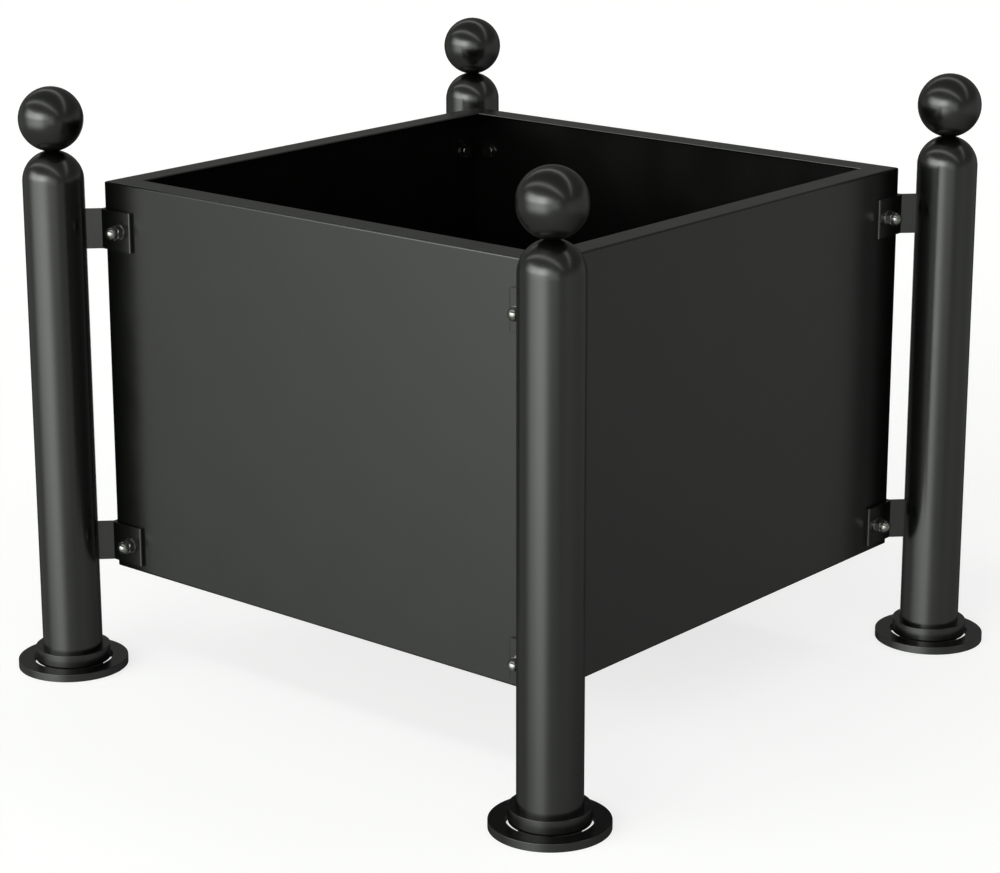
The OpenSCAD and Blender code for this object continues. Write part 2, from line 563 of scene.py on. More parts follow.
@dataclass(frozen=True)
class PowderCoat(Finish):
    """Polyester powder, sprayed on steel sheet and baked to an even green-black skin.

    The eye gets a soft sheen with a faint orange peel, and next to no colour of its own.
    """

    title: str = "green-black powder coat"
    slot: str = "powder_coat"
    dark: str = "#030403"
    light: str = "#050604"
    gloss: float = 0.23
    gloss_play: float = 0.02
    ior: float = 1.6
    # Distance between the humps of the orange peel, and the height of a hump
    peel: float = 2.6 * MM
    peel_height: float = 0.0035 * MM
    # Distance between the swells of the sheet and their height
    swell: float = 160 * MM
    swell_height: float = 0.06 * MM
    cloud: float = 55 * MM

    def surface(self, tree: bpy.types.NodeTree, shader: Any, place: Any) -> tuple[Any, Any]:
        """Draws the swells of the sheet and the orange peel on them.

        Args:
            tree: the material's node tree.
            shader: its shader.
            place: output that carries the place on the piece.

        Returns:
            The outputs that move the colour and the gloss.
        """
        cloud, swell, peel = (
            add_node(
                tree, "ShaderNodeTexNoise", {"Vector": place, "Scale": 1 / size, "Detail": detail}
            ).outputs["Fac"]
            for size, detail in ((self.cloud, 4.0), (self.swell, 1.0), (self.peel, 2.0))
        )
        slow = add_node(
            tree, "ShaderNodeBump",
            {"Height": swell, "Distance": self.swell_height, "Strength": 1.0},
        )
        fine = add_node(
            tree, "ShaderNodeBump",
            {"Height": peel, "Distance": self.peel_height, "Strength": 1.0,
             "Normal": slow.outputs["Normal"]},
        )
        tree.links.new(fine.outputs["Normal"], shader.inputs["Normal"])
        shader.inputs["IOR"].default_value = self.ior
        return cloud, cloud


@dataclass(frozen=True)
class StainlessSteel(Finish):
    """A2 stainless steel, forged and turned, then tumbled bright.

    The eye gets a clear metal gleam that a fine grain breaks up a little.
    """

    title: str = "tumbled stainless steel"
    slot: str = "stainless_steel"
    dark: str = "#737370"
    light: str = "#949490"
    gloss: float = 0.20
    gloss_play: float = 0.04
    # The real grain is finer than 0.1 mm; it is drawn coarser so that it shows
    grain: float = 0.5 * MM
    grain_height: float = 0.004 * MM
    cloud: float = 6 * MM

    def surface(self, tree: bpy.types.NodeTree, shader: Any, place: Any) -> tuple[Any, Any]:
        """Draws the grain.

        Args:
            tree: the material's node tree.
            shader: its shader.
            place: output that carries the place on the piece.

        Returns:
            The outputs that move the colour and the gloss.
        """
        cloud, grain = (
            add_node(
                tree, "ShaderNodeTexNoise", {"Vector": place, "Scale": 1 / size, "Detail": 3.0}
            ).outputs["Fac"]
            for size in (self.cloud, self.grain)
        )
        relief = add_node(
            tree, "ShaderNodeBump",
            {"Height": grain, "Distance": self.grain_height, "Strength": 1.0},
        )
        tree.links.new(relief.outputs["Normal"], shader.inputs["Normal"])
        shader.inputs["Metallic"].default_value = 1.0
        return cloud, grain


# ---- sub-assemblies ----


class SubAssembly:
    """What every sub-assembly shares: its pieces are dressed in one way."""

    @staticmethod
    def dress(shape: Shape, finish: Finish, node: str) -> None:
        """Gives a finished piece its material, its body and the node it stands for.

        Args:
            shape: the piece.
            finish: its finish.
            node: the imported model's node that it replaces.
        """
        piece = shape.obj
        piece.data.materials.clear()
        piece.data.materials.append(finish.material)
        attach(piece, ROOT)
        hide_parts(node)
        LOG.info("%s stands for %s, %d faces", piece.name, node, len(piece.data.polygons))

    def dress_round(
        self, first: Shape, finish: Finish, node: str, places: type[Turned],
        carry: Callable[[Turned], Matrix] = lambda place: place.turn,
    ) -> None:
        """Dresses a piece and its copies round the planter.

        Args:
            first: the piece at the first place, which its name ends with.
            finish: its finish.
            node: the nodes' name up to the place.
            places: corners or sides.
            carry: what carries the first piece to a place.
        """
        start, *others = places
        title = first.obj.name.removesuffix(start.label)
        self.dress(first, finish, node + start.label)
        for place in others:
            copy = first.moved(title + place.label, carry(place))
            self.dress(copy, finish, node + place.label)


@dataclass
class FoldedBox(SubAssembly):
    """Four folded sheet walls, mitred and closed at the corners, and the floor sheet.

    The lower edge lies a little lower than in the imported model, and folds and corners are
    sharper, as on the real box.
    """

    width: float = 705 * MM
    height: float = 500.8 * MM
    clearance: float = 130.7 * MM
    sheet: float = 3 * MM
    # Outer radii of the long folds and of the upright corners
    fold: float = 3.2 * MM
    corner: float = 1.5 * MM
    # How far the upper and the lower flange reach inward
    rim: float = 33.5 * MM
    ledge: float = 30 * MM
    floor: float = 3 * MM
    floor_play: float = 0.4 * MM
    # Radius of a drain hole, and how far the outer four lie inside the floor's edge
    drain: float = 15 * MM
    drain_inset: float = 140 * MM
    sheet_edge: float = 0.5 * MM
    lip_edge: float = 1.4 * MM
    fold_steps: int = 8

    @property
    def half(self) -> float:
        """Distance of a wall's outer face from the middle."""
        return self.width / 2

    @property
    def top(self) -> float:
        """Height of the rim."""
        return self.clearance + self.height

    def wall(self, bolts: "Fasteners") -> Shape:
        """Folds the front wall.

        Args:
            bolts: the fasteners that need holes in it.

        Returns:
            The wall, closed and mitred at both ends.
        """
        half, spare = self.half, 2 * self.rim
        wall = Shape.block(
            "folded_wall_front",
            (-half - spare, -half, self.clearance),
            (half + spare, self.rim - half, self.top),
        )
        wall.pick_faces(lambda at, n: abs(n.z) < MOSTLY and n.y > -MOSTLY).delete_faces()
        wall.pick_edges(
            lambda at, along: abs(along.x) > MOSTLY and at.y > self.rim - half - NEAR
            and at.z < self.clearance + NEAR
        )
        bpy.ops.transform.translate(value=(0, self.ledge - self.rim, 0))
        wall.pick_edges(lambda at, along: abs(along.x) > MOSTLY and at.y < NEAR - half)
        wall.bevel(self.fold, self.fold_steps).hollow(self.sheet)
        wall.pick_edges(
            lambda at, along: abs(along.x) > MOSTLY and at.y > self.ledge - half - NEAR
        ).bevel(self.lip_edge, EDGE_STEPS)
        wall.cut_off((0, 0, 0), (1, 1, 0), fill=True)
        wall.cut_off((0, 0, 0), (-1, 1, 0), fill=True)
        wall.combine(self.outline(), Joining.KEEP_COMMON)
        wall.combine(bolts.hole_tool(self.half, Side.FRONT), Joining.CUT)
        return wall.smooth(flats=True)

    def outline(self) -> Shape:
        """Makes the block that rounds the upright corners of the closed box.

        Returns:
            The block, higher than the box.
        """
        spare = self.rim
        low = (-self.half, -self.half, self.clearance - spare)
        high = (self.half, self.half, self.top + spare)
        block = Shape.block("outline_tool", low, high)
        block.pick_edges(lambda at, along: abs(along.z) > MOSTLY)
        return block.bevel(self.corner, self.fold_steps)

    def floor_sheet(self) -> Shape:
        """Cuts the floor sheet with its five drain holes.

        Returns:
            The sheet.
        """
        reach = self.half - self.fold - self.floor_play
        low = self.clearance + self.sheet
        sheet = Shape.block("floor_sheet", (-reach, -reach, low), (reach, reach, low + self.floor))
        out = reach - self.drain_inset
        drains = [(0.0, 0.0)] + [(x, y) for x in (-out, out) for y in (-out, out)]
        tools = [
            Shape.rod("drain_tool", self.drain, 0.0, 2 * low, at=place) for place in drains
        ]
        sheet.combine(tools[0].join(tools[1:]), Joining.CUT)
        return sheet.soften(self.sheet_edge).smooth(flats=True)

    def build(self, bolts: "Fasteners", coat: Finish) -> None:
        """Builds and dresses the walls and the floor.

        Args:
            bolts: the fasteners that need holes in the walls.
            coat: the finish.
        """
        self.dress_round(self.wall(bolts), coat, "wall_", Side)
        self.dress(self.floor_sheet(), coat, "floor_panel")


@dataclass
class Post(SubAssembly):
    """A tube with a domed top, its hollow ball, and the foot round it."""

    box: FoldedBox
    radius: float = 38 * MM
    wall: float = 3 * MM
    # How far over the rim of the box the dome starts
    over_rim: float = 1.7 * MM
    # Between the tube and the corner of the box
    gap: float = 24 * MM
    ball_radius: float = 40 * MM
    ball_wall: float = 3 * MM
    # Radii of the flat on which the ball stands and of the vent in it
    seat: float = 6.8 * MM
    vent: float = 4 * MM
    # Half the room between the tube and what fits round it
    play: float = 0.1 * MM
    collar_width: float = 9.5 * MM
    collar_height: float = 18 * MM
    foot_gap: float = 3 * MM
    foot_rim: float = 19.5 * MM
    foot_height: float = 10 * MM
    tongue_width: float = 9 * MM
    tongue_drop: float = 1.5 * MM
    tongues: int = 3
    # Direction of the first tongue, in degrees from +X to +Y
    first_tongue: float = -50.0
    edge: float = 0.8 * MM

    @property
    def out(self) -> float:
        """Distance of the post's axis from both middle planes."""
        return self.box.half + (self.gap + self.radius) / math.sqrt(2)

    @property
    def axis(self) -> tuple[float, float]:
        """Place of the front right post's axis."""
        return self.out, -self.out

    @property
    def shoulder(self) -> float:
        """Height at which the dome starts."""
        return self.box.top + self.over_rim

    @property
    def dome_top(self) -> float:
        """Height of the flat on which the ball stands."""
        return self.shoulder + math.sqrt(self.radius**2 - self.seat**2)

    @property
    def bore(self) -> float:
        """Radius of what fits round the post."""
        return self.radius + self.play

    @property
    def foot_hole(self) -> float:
        """Radius of the opening in the foot plate."""
        return self.radius + self.collar_width + self.foot_gap

    def vented(self, shape: Shape, height: float, upward: bool) -> Shape:
        """Opens the vent in the flat where dome and ball meet.

        Args:
            shape: the dome or the ball.
            height: height of the flat.
            upward: whether the flat looks up.

        Returns:
            The same shape.
        """
        shape.pick_faces(
            lambda at, n: abs(at.z - height) < NEAR and (n.z if upward else -n.z) > MOSTLY
        )
        return shape.inset(self.seat - self.vent).delete_faces()

    def tube(self) -> Shape:
        """Draws the tube and its dome as one skin and gives it its wall.

        Returns:
            The front right post.
        """
        x, y = self.axis
        tube = Shape.ball("domed_post_front_right", self.radius, (x, y, self.shoulder))
        tube.cut_off((0, 0, self.shoulder), (0, 0, -1), fill=False)
        tube.pick_edges(lambda at, along: abs(at.z - self.shoulder) < NEAR)
        tube.extrude((0, 0, -self.shoulder))
        tube.cut_off((0, 0, self.dome_top), (0, 0, 1), fill=True)
        self.vented(tube, self.dome_top, upward=True)
        return tube.hollow(self.wall).smooth(flats=False)

    def finial(self) -> Shape:
        """Draws the hollow ball that stands on the dome.

        Returns:
            The front right ball.
        """
        drop = math.sqrt(self.ball_radius**2 - self.seat**2)
        x, y = self.axis
        ball = Shape.ball(
            "ball_finial_front_right", self.ball_radius, (x, y, self.dome_top + drop)
        )
        ball.cut_off((0, 0, self.dome_top), (0, 0, -1), fill=True)
        self.vented(ball, self.dome_top, upward=False)
        return ball.hollow(self.ball_wall).smooth(flats=False)

    def spoke(self, at: Vector) -> float:
        """Distance of a point from the front right post's axis."""
        return math.hypot(at.x - self.axis[0], at.y - self.axis[1])

    def collar(self) -> Shape:
        """Turns the collar that stands on the tongues of the foot.

        Returns:
            The front right collar.
        """
        low = self.foot_height - self.tongue_drop
        outer = self.radius + self.collar_width
        collar = Shape.ring(
            "foot_collar_front_right", outer, self.bore, low, low + self.collar_height, self.axis
        )
        middle = (outer + self.bore) / 2
        collar.pick_edges(lambda at, along: abs(along.z) < MOSTLY and self.spoke(at) > middle)
        return collar.bevel(self.edge, EDGE_STEPS).smooth(flats=True)

    def foot(self) -> Shape:
        """Cuts the foot plate and draws its tongues in to the post.

        Returns:
            The front right foot.
        """
        hole, high = self.foot_hole, self.foot_height
        outer = hole + self.foot_rim
        foot = Shape.ring("foot_plate_front_right", outer, hole, 0.0, high, self.axis)
        foot.pick_edges(
            lambda at, along: abs(along.z) < MOSTLY and at.z > high - NEAR
            and self.spoke(at) > (hole + outer) / 2
        ).bevel(self.edge, EDGE_STEPS)
        top = high - self.tongue_drop
        middle = Vector((*self.axis, 0))
        inside: Test = lambda at, n: abs(n.z) < MOSTLY and self.spoke(at) < hole + NEAR
        foot.pick_faces(inside).score((0, 0, top), (0, 0, 1))
        for count in range(self.tongues):
            angle = math.radians(self.first_tongue + count * 360 / self.tongues)
            along = Vector((math.cos(angle), math.sin(angle), 0))
            across = Vector((-along.y, along.x, 0))
            for side in (-1, 1):
                foot.pick_faces(inside)
                foot.score(middle + side * across * self.tongue_width / 2, across)

            def root(at: Vector, n: Vector) -> bool:
                """Tells the face of the hole at which this tongue starts.

                Args:
                    at: middle of a face.
                    n: its normal.

                Returns:
                    Whether it is that face.
                """
                away = at - middle
                return (
                    inside(at, n) and at.z < top and away.dot(along) > 0
                    and abs(away.dot(across)) < self.tongue_width / 2
                )

            foot.pick_faces(root).extrude(-along * (hole - self.bore))
        return foot.smooth(flats=True)

    def build(self, coat: Finish) -> None:
        """Builds and dresses the four posts with their balls and feet.

        Args:
            coat: the finish.
        """
        start = Vector((*self.axis, 0))
        parts = {"post_": self.tube(), "ball_": self.finial(),
                 "collar_": self.collar(), "base_": self.foot()}
        for node, first in parts.items():
            self.dress_round(
                first, coat, node, Corner,
                lambda corner: Matrix.Translation(corner.turn @ start - start),
            )


@dataclass
class Bracket(SubAssembly):
    """An angle round the corner of the box and the web that carries it on the post."""

    box: FoldedBox
    post: Post
    plate: float = 5 * MM
    height: float = 50 * MM
    leg: float = 53.5 * MM
    # Radii of the inner root of the angle and of the ends of its legs
    root: float = 1.2 * MM
    end_edge: float = 2 * MM
    edge: float = 0.4 * MM
    steps: int = 6

    @property
    def outer(self) -> float:
        """Distance of the angle's outer faces from the middle."""
        return self.box.half + self.plate

    def angle(self, level: Level, bolts: "Fasteners") -> Shape:
        """Draws an angle of two legs with a rounded root.

        Args:
            level: which of the two heights.
            bolts: the fasteners that need holes in it.

        Returns:
            The angle at the front right corner.
        """
        middle, out, inner = bolts.height(level), self.outer, self.box.half
        low, high = middle - self.height / 2, middle + self.height / 2
        angle = Shape.block(
            f"corner_angle_{level.value}_front_right",
            (out - self.leg, -out, low), (out, -inner, high),
        )
        angle.pick_faces(lambda at, n: True).score((inner, 0, 0), (1, 0, 0))
        angle.pick_faces(lambda at, n: n.y > MOSTLY and at.x > inner)
        angle.extrude((0, self.leg - self.plate, 0))
        angle.pick_edges(
            lambda at, along: abs(along.z) > MOSTLY and abs(at.x - inner) < NEAR
            and abs(at.y + inner) < NEAR
        ).bevel(self.root, self.steps)
        reach = self.leg - self.plate
        angle.pick_edges(
            lambda at, along: abs(along.z) > MOSTLY and max(out - at.x, out + at.y) > reach
            and min(abs(at.x - out), abs(at.y + out)) < NEAR
        ).bevel(self.end_edge, self.steps)
        angle.combine(bolts.hole_tool(self.outer, Side.FRONT, Side.RIGHT), Joining.CUT)
        return angle.soften(self.edge).smooth(flats=True)

    def web(self, level: Level, bolts: "Fasteners") -> Shape:
        """Draws a web plate, notched over the angle and coped to the post.

        Args:
            level: which of the two heights.
            bolts: the fasteners, which lie at the height of its middle.

        Returns:
            The web at the front right corner.
        """
        middle, out = bolts.height(level), self.outer
        low, high = middle - self.height / 2, middle + self.height / 2
        start, end = out * math.sqrt(2) - self.plate, self.post.out * math.sqrt(2)
        web = Shape.block(
            f"web_plate_{level.value}_front_right",
            (start, -self.plate / 2, low), (end, self.plate / 2, high),
        )
        # From along X to the diagonal of the front right corner
        web.obj.data.transform(Matrix.Rotation(math.radians(-45), 4, "Z"))
        notch = Shape.block("notch_tool", (0, -out, 0), (out, 0, 2 * high))
        web.combine(notch, Joining.CUT)
        cope = Shape.rod("cope_tool", self.post.bore, 0.0, 2 * high, at=self.post.axis)
        web.combine(cope, Joining.CUT)
        return web.soften(self.edge / 2).smooth(flats=True)

    def build(self, bolts: "Fasteners", coat: Finish) -> None:
        """Builds and dresses the eight angles and the eight webs.

        Args:
            bolts: the fasteners that hold the angles.
            coat: the finish.
        """
        for level in Level:
            parts = {"angle": self.angle(level, bolts), "web": self.web(level, bolts)}
            for node, first in parts.items():
                self.dress_round(first, coat, f"{node}_{level.value}_", Corner)


@dataclass
class Fasteners(SubAssembly):
    """Sixteen bolts, each with two washers and a domed cap nut."""

    box: FoldedBox
    bracket: Bracket
    # Places of the bolts from the end of a leg, the rim and the lower edge of the box
    from_leg_end: float = 18 * MM
    upper_drop: float = 59.5 * MM
    lower_rise: float = 34.8 * MM
    # Radii of the shank, and of the holes in sheet, angles and washers
    shank: float = 5 * MM
    hole: float = 5.5 * MM
    length: float = 25 * MM
    tip: float = 1 * MM
    across_flats: float = 17 * MM
    head: float = 6.4 * MM
    washer: float = 10 * MM
    washer_height: float = 2 * MM
    nut_hexagon: float = 8 * MM
    nut_height: float = 18 * MM
    nut_dome: float = 8 * MM
    nut_bore: float = 14 * MM
    nut_play: float = 0.1 * MM
    turned_edge: float = 0.25 * MM
    # How far a tool reaches past what it cuts
    spare: float = 1 * MM

    @property
    def across(self) -> float:
        """Distance of a bolt from the middle of its wall."""
        return self.bracket.outer - self.bracket.leg + self.from_leg_end

    @property
    def inside(self) -> float:
        """Depth of the face of the inner washer under the wall's outer face."""
        return self.box.sheet + self.washer_height

    def height(self, level: Level) -> float:
        """Height of the bolts at one level."""
        if level is Level.UPPER:
            return self.box.top - self.upper_drop
        return self.box.clearance + self.lower_rise

    def places(self, out: float, *sides: Side) -> list[Matrix]:
        """Lists the places of the four bolts of each side.

        Args:
            out: distance of a face of the side from the middle.
            sides: the sides.

        Returns:
            A place for each bolt: its Z points outward from the face.
        """
        outward = Matrix.Rotation(math.radians(90), 4, "X")
        return [
            side.turn @ Matrix.Translation((x, -out, self.height(level))) @ outward
            for side in sides for x in (-self.across, self.across) for level in Level
        ]

    def hole_tool(self, out: float, *sides: Side) -> Shape:
        """Makes the rods that drill the holes of the sides, as one tool.

        Args:
            out: distance of the drilled face from the middle.
            sides: the sides that are drilled.

        Returns:
            The tool.
        """
        reach = 2 * self.bracket.plate
        rods = []
        for place in self.places(out, *sides):
            rods.append(Shape.rod("hole_tool", self.hole, -reach, reach, sides=SMALL_SIDES))
            rods[-1].obj.data.transform(place)
        return rods[0].join(rods[1:])

    def hexagon(self, name: str, low: float, high: float) -> Shape:
        """Forges a hexagon whose corners are turned back at its upper end.

        Args:
            name: name of the piece.
            low: height of the flat end.
            high: height of the turned end.

        Returns:
            The hexagon.
        """
        flat = self.across_flats / 2
        corner = flat / math.cos(math.radians(30))
        hexagon = Shape.rod(name, corner, low, high, sides=6)
        turned = corner + self.turned_edge
        end = high + self.turned_edge
        turning = Shape.rod("turning_tool", turned, low - self.spare, end)
        turning.pick_edges(lambda at, along: at.z > end - NEAR)
        turning.bevel(turned - flat + self.turned_edge, 1)
        return hexagon.combine(turning, Joining.KEEP_COMMON)

    def bolt(self) -> Shape:
        """Makes the bolt: a hexagon head and a shank with a turned tip.

        Returns:
            The bolt, with its axis along Z and the wall's outer face at zero.
        """
        head = self.hexagon("hex_bolts", 0.0, self.head)
        head.obj.data.transform(Matrix.Rotation(math.pi, 4, "X"))
        shank = Shape.rod("shank", self.shank, -self.head / 2, self.length, sides=SMALL_SIDES)
        shank.pick_edges(lambda at, along: at.z > self.length - NEAR)
        shank.bevel(self.tip, 1)
        head.combine(shank, Joining.ADD)
        head.obj.data.transform(Matrix.Translation((0, 0, -self.inside)))
        return head.smooth(flats=True)

    def washer_ring(self, name: str, low: float) -> Shape:
        """Stamps a washer.

        Args:
            name: name of the piece.
            low: height of its lower face.

        Returns:
            The washer.
        """
        ring = Shape.ring(
            name, self.washer, self.hole, low, low + self.washer_height, sides=SMALL_SIDES
        )
        middle = (self.washer + self.hole) / 2
        ring.pick_edges(
            lambda at, along: abs(along.z) < MOSTLY and math.hypot(at.x, at.y) > middle
        )
        return ring.bevel(self.turned_edge, FINE_EDGE_STEPS).smooth(flats=True)

    def cap_nut(self) -> Shape:
        """Makes the domed cap nut.

        Returns:
            The nut, with its axis along Z and the wall's outer face at zero.
        """
        low = self.bracket.plate + self.washer_height
        girth = self.nut_height - self.nut_dome
        nut = self.hexagon("domed_cap_nuts", 0.0, self.nut_hexagon)
        dome = Shape.ball("dome", self.nut_dome, (0, 0, girth), sides=SMALL_SIDES)
        dome.cut_off((0, 0, girth), (0, 0, -1), fill=False)
        dome.pick_rims().extrude((0, 0, self.nut_hexagon / 2 - girth))
        dome.pick_rims()
        bpy.ops.mesh.edge_face_add()
        nut.combine(dome, Joining.ADD)
        bore = Shape.rod(
            "bore_tool", self.shank + self.nut_play, -self.spare, self.nut_bore, sides=SMALL_SIDES
        )
        nut.combine(bore, Joining.CUT)
        nut.obj.data.transform(Matrix.Translation((0, 0, low)))
        return nut.smooth(flats=True)

    def everywhere(self, first: Shape) -> Shape:
        """Copies a fastener to its sixteen places and drops the first.

        Args:
            first: the fastener, with its axis along Z.

        Returns:
            All sixteen, as one piece.
        """
        name = first.obj.name
        places = self.places(self.box.half, *Side)
        copies = [first.moved(f"{name}_{i}", place) for i, place in enumerate(places)]
        bpy.data.meshes.remove(first.obj.data)
        whole = copies[0].join(copies[1:])
        whole.obj.name = whole.obj.data.name = name
        return whole

    def build(self, steel: Finish) -> None:
        """Builds and dresses the fasteners, sixteen of a kind in one piece.

        Args:
            steel: the finish.
        """
        kinds = {
            "bolts": self.bolt(),
            "inner_washers": self.washer_ring("inner_washer_rings", -self.inside),
            "outer_washers": self.washer_ring("outer_washer_rings", self.bracket.plate),
            "cap_nuts": self.cap_nut(),
        }
        for node, first in kinds.items():
            self.dress(self.everywhere(first), steel, node)


# ---- studio ----


@dataclass(frozen=True)
class Glow:
    """A bright part of the studio with soft edges, as it is seen from the planter.

    Directions and sizes are in degrees, and azimuths are counted from +X to +Y. A half size
    reaches to where the glow is half as strong, and an edge is what the fading takes.
    """

    name: str
    azimuth: float
    elevation: float
    half_width: float
    half_height: float
    edge_width: float
    edge_height: float
    strength: float


@dataclass(frozen=True)
class CeilingStrip:
    """A long lamp under the ceiling that runs along X, in shares of its height."""

    name: str
    offset: float
    strength: float
    half_width: float = 0.09
    edge_width: float = 0.12
    half_length: float = 2.1
    edge_length: float = 3.0
    # Least upward share of a direction, so that it never divides by nothing
    lowest: float = 0.02


class Sky:
    """Draws brightness by the direction of a ray in the world's node tree."""

    def __init__(self, tree: bpy.types.NodeTree) -> None:
        """Splits the direction into its parts.

        Args:
            tree: the world's node tree.
        """
        self.tree = tree
        self.direction = add_node(tree, "ShaderNodeTexCoord", {}).outputs["Generated"]
        parts = add_node(tree, "ShaderNodeSeparateXYZ", {"Vector": self.direction})
        self.x, self.y, self.z = parts.outputs
        rise = add_node(tree, "ShaderNodeMath", {"0": self.z}, operation="ARCSINE")
        flat = add_node(tree, "ShaderNodeMath", {"0": rise.outputs[0]}, operation="COSINE")
        self.elevation, self.level = rise.outputs[0], flat.outputs[0]

    def toward(self, azimuth: float) -> Any:
        """Measures how far the direction goes one level way.

        Args:
            azimuth: that way, in degrees from +X to +Y.

        Returns:
            The output that carries it, from minus one to one.
        """
        turn = math.radians(azimuth)
        share = add_node(
            self.tree, "ShaderNodeVectorMath",
            {"0": self.direction, "1": (math.cos(turn), math.sin(turn), 0.0)},
            operation="DOT_PRODUCT",
        )
        return share.outputs["Value"]

    def fade(self, away: Any, half: float, edge: float) -> Any:
        """Lets a brightness fade out with a distance.

        Args:
            away: output that carries the distance, of either sign.
            half: distance at which half is left.
            edge: stretch over which it fades.

        Returns:
            The output that carries the share that is left.
        """
        plain = add_node(self.tree, "ShaderNodeMath", {"0": away}, operation="ABSOLUTE")
        left = add_node(
            self.tree, "ShaderNodeMapRange",
            {"Value": plain.outputs[0], "From Min": half - edge / 2, "From Max": half + edge / 2,
             "To Min": 1.0, "To Max": 0.0},
            interpolation_type="SMOOTHSTEP",
        )
        return left.outputs["Result"]

    def glow(self, glow: Glow) -> Any:
        """Draws one glow.

        Args:
            glow: the glow.

        Returns:
            The output that carries its share, from nothing to one.
        """
        level = add_node(
            self.tree, "ShaderNodeMath", {"0": self.toward(glow.azimuth), "1": self.level},
            operation="DIVIDE",
        )
        aside = add_node(
            self.tree, "ShaderNodeMath", {"0": level.outputs[0]}, operation="ARCCOSINE"
        )
        above = add_node(
            self.tree, "ShaderNodeMath",
            {"0": self.elevation, "1": math.radians(glow.elevation)}, operation="SUBTRACT",
        )
        width, width_edge, height, height_edge = (math.radians(size) for size in (
            glow.half_width, glow.edge_width, glow.half_height, glow.edge_height
        ))
        share = add_node(
            self.tree, "ShaderNodeMath",
            {"0": self.fade(aside.outputs[0], width, width_edge),
             "1": self.fade(above.outputs[0], height, height_edge)},
            operation="MULTIPLY",
        )
        return share.outputs[0]

    def strip(self, strip: CeilingStrip) -> Any:
        """Draws one ceiling strip.

        Args:
            strip: the strip.

        Returns:
            The output that carries its share, from nothing to one.
        """
        height = add_node(
            self.tree, "ShaderNodeMath", {"0": self.z, "1": strip.lowest}, operation="MAXIMUM"
        )
        along, across = (
            add_node(
                self.tree, "ShaderNodeMath", {"0": part, "1": height.outputs[0]},
                operation="DIVIDE",
            ).outputs[0]
            for part in (self.x, self.y)
        )
        beside = add_node(
            self.tree, "ShaderNodeMath", {"0": across, "1": strip.offset}, operation="SUBTRACT"
        )
        share = add_node(
            self.tree, "ShaderNodeMath",
            {"0": self.fade(along, strip.half_length, strip.edge_length),
             "1": self.fade(beside.outputs[0], strip.half_width, strip.edge_width)},
            operation="MULTIPLY",
        )
        return share.outputs[0]


def seen(tree: bpy.types.NodeTree, backdrop: Any) -> Any:
    """Tells the rays that see the plain white background.

    The camera sees it everywhere, and metal and gloss mirror it where the camera's
    picture has it, so they also keep the soft box and the strips.

    Args:
        tree: the node tree.
        backdrop: output or number that says where the picture's background lies.

    Returns:
        The output that is one for such a ray.
    """
    path = add_node(tree, "ShaderNodeLightPath", {})
    mirrored = add_node(
        tree, "ShaderNodeMath",
        {"0": path.outputs["Is Glossy Ray"], "1": path.outputs["Is Transmission Ray"]},
        operation="MAXIMUM",
    )
    there = add_node(
        tree, "ShaderNodeMath", {"0": mirrored.outputs[0], "1": backdrop}, operation="MULTIPLY"
    )
    every = add_node(
        tree, "ShaderNodeMath", {"0": path.outputs["Is Camera Ray"], "1": there.outputs[0]},
        operation="MAXIMUM",
    )
    return every.outputs[0]


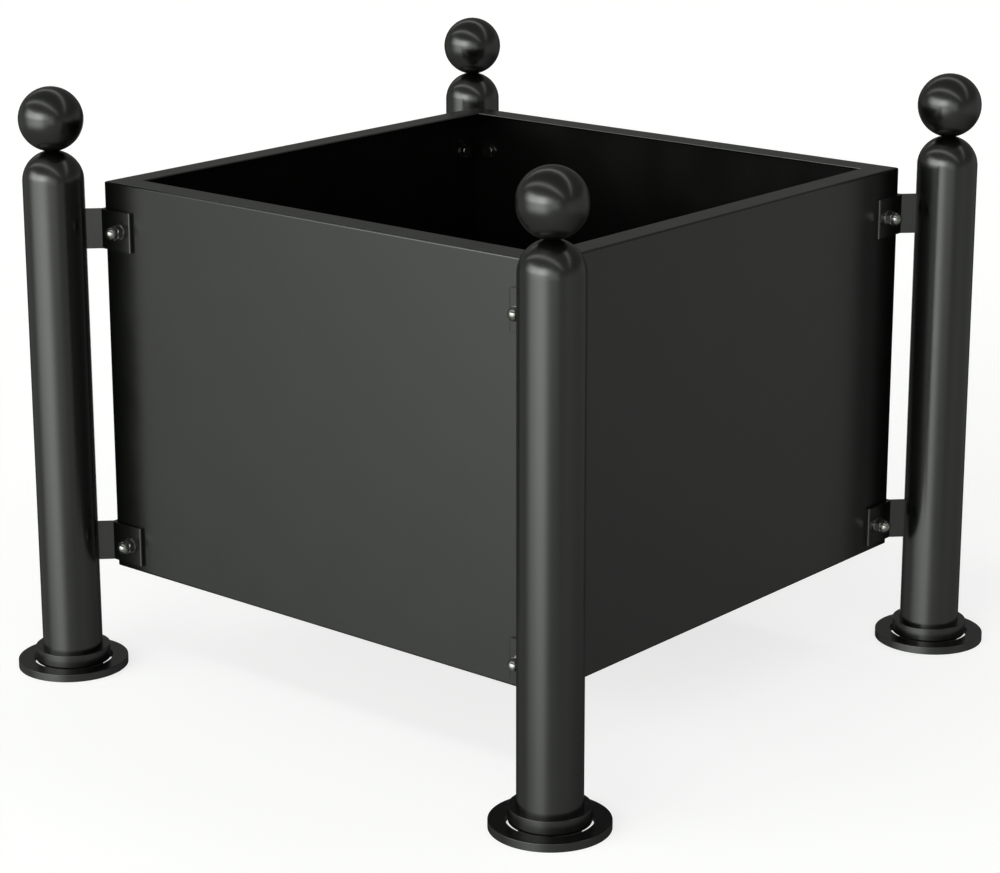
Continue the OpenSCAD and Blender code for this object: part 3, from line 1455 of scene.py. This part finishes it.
@dataclass(frozen=True)
class Surroundings:
    """The studio round the planter: a wide soft box, two ceiling strips and pale walls."""

    colour: str = "#fbfff9"
    # The walls over the horizon and the ground under it, palest on the facing side
    facing: float = -66.0
    sky: float = 0.24
    sky_swing: float = 0.10
    ground: float = 0.28
    ground_swing: float = 0.34
    darkest: float = 0.045
    # How far above and below it the ground fades into the walls, as the sine of the angle
    horizon: float = 0.1
    glows: tuple[Glow, ...] = (
        Glow("soft box", -98, 15, 36, 9.5, 44, 5, 5.6),
        Glow("hot middle of the soft box", -84, 15, 13, 9.5, 18, 5, 1.7),
        Glow("lit ground before it", -96.4, -6, 32.2, 13, 38, 20, 2.42),
        Glow("bright end of that ground", -85, -13, 17, 14, 24, 18, 0.75),
        Glow("window beside the camera", -44, 4, 13, 13.5, 16, 14, 1.2),
        Glow("dim wall on the left", -165, -6, 20, 16, 26, 20, 0.12),
        Glow("pale wall on the right", 40, -6, 46, 15, 34, 18, 0.245),
    )
    strips: tuple[CeilingStrip, ...] = (
        CeilingStrip("front strip", -0.56, 2.6),
        CeilingStrip("back strip", 0.56, 1.7),
    )
    # A little over one, so that the tint still shows as white
    backdrop: Glow = Glow("white backdrop", 130, -14, 11, 5, 4, 4, 1.06)

    def walls(self, sky: Sky) -> Any:
        """Draws the dim walls and the ground.

        Args:
            sky: draws by direction.

        Returns:
            The output that carries their brightness.
        """
        toward = sky.toward(self.facing)
        ground, wall = (
            add_node(
                sky.tree, "ShaderNodeMath", {"0": toward, "1": swing, "2": mean},
                operation="MULTIPLY_ADD",
            ).outputs[0]
            for mean, swing in ((self.ground, self.ground_swing), (self.sky, self.sky_swing))
        )
        whole = add_node(
            sky.tree, "ShaderNodeMapRange",
            {"Value": sky.z, "From Min": -self.horizon, "From Max": self.horizon,
             "To Min": ground, "To Max": wall},
        )
        least = add_node(
            sky.tree, "ShaderNodeMath", {"0": whole.outputs["Result"], "1": self.darkest},
            operation="MAXIMUM",
        )
        return least.outputs[0]

    def build(self) -> None:
        """Makes the world."""
        world = bpy.data.worlds.new("studio")
        bpy.context.scene.world = world
        world.use_nodes = True
        tree = world.node_tree
        sky = Sky(tree)
        total = self.walls(sky)
        shares = [(sky.glow(glow), glow.strength) for glow in self.glows]
        shares += [(sky.strip(strip), strip.strength) for strip in self.strips]
        for share, strength in shares:
            total = add_node(
                tree, "ShaderNodeMath", {"0": share, "1": strength, "2": total},
                operation="MULTIPLY_ADD",
            ).outputs[0]
        white = add_node(
            tree, "ShaderNodeMix",
            {"Factor": seen(tree, sky.glow(self.backdrop)), "A": total,
             "B": self.backdrop.strength},
            data_type="FLOAT",
        )
        shader = tree.nodes["Background"]
        shader.inputs["Color"].default_value = linear(self.colour)
        tree.links.new(white.outputs[0], shader.inputs["Strength"])


@dataclass(frozen=True)
class Studio:
    """Pale floor, soft surroundings and the camera."""

    surroundings: Surroundings = Surroundings()
    floor_half: float = 30.0
    floor_colour: str = "#a8a8a8"
    floor_roughness: float = 0.9
    # What the floor gives off of itself, so that it shows as white beside the shadow
    glow: float = 0.73
    # The camera of the photograph: place in metres, turns in degrees, lens in millimetres
    camera_at: tuple[float, float, float] = (2.22907, -2.65406, 1.30584)
    yaw: float = 40.067
    pitch: float = 15.056
    roll: float = -0.033
    lens: float = 101.45
    sensor: float = 36.0
    shift: tuple[float, float] = (-0.0043, -0.0631)

    def build_floor(self) -> None:
        """Lays the pale floor, which keeps the planter's shadow.

        The ground that the coat mirrors is part of the surroundings, so the floor hides
        neither it nor the light that comes from there.
        """
        bpy.ops.object.select_all(action="DESELECT")
        bpy.ops.mesh.primitive_plane_add(size=2 * self.floor_half)
        floor = bpy.context.active_object
        floor.name = "studio_floor"
        floor.visible_glossy = floor.visible_diffuse = floor.visible_shadow = False
        material = bpy.data.materials.new("matt pale studio floor")
        material.use_nodes = True
        tree = material.node_tree
        shader = tree.nodes["Principled BSDF"]
        shader.inputs["Base Color"].default_value = linear(self.floor_colour)
        shader.inputs["Roughness"].default_value = self.floor_roughness
        shader.inputs["Emission Color"].default_value = (1.0, 1.0, 1.0, 1.0)
        glow = add_node(
            tree, "ShaderNodeMath", {"0": seen(tree, 1.0), "1": self.glow},
            operation="MULTIPLY",
        )
        tree.links.new(glow.outputs[0], shader.inputs["Emission Strength"])
        floor.data.materials.append(material)

    def build_camera(self) -> None:
        """Puts the camera where the photograph was taken from."""
        camera = bpy.data.cameras.new("camera")
        camera.lens, camera.sensor_width = self.lens, self.sensor
        camera.shift_x, camera.shift_y = self.shift
        holder = bpy.data.objects.new("camera", camera)
        bpy.context.scene.collection.objects.link(holder)
        holder.matrix_world = (
            Matrix.Translation(self.camera_at)
            @ Matrix.Rotation(math.radians(self.yaw), 4, "Z")
            @ Matrix.Rotation(math.radians(90 - self.pitch), 4, "X")
            @ Matrix.Rotation(math.radians(self.roll), 4, "Z")
        )
        bpy.context.scene.camera = holder

    def build(self) -> None:
        """Sets up the whole studio."""
        bpy.context.scene.view_settings.view_transform = "Standard"
        self.surroundings.build()
        self.build_floor()
        self.build_camera()
        lights = (*self.surroundings.glows, *self.surroundings.strips)
        LOG.info("studio light: %s", ", ".join(light.name for light in lights))


def main() -> None:
    """Builds the studio and the planter."""
    logging.basicConfig(level=logging.INFO, format="%(name)s: %(message)s")
    Studio().build()
    coat, steel = PowderCoat(), StainlessSteel()
    box = FoldedBox()
    post = Post(box)
    bracket = Bracket(box, post)
    bolts = Fasteners(box, bracket)
    box.build(bolts, coat)
    post.build(coat)
    bracket.build(bolts, coat)
    bolts.build(steel)


if __name__ == "__main__":
    main()
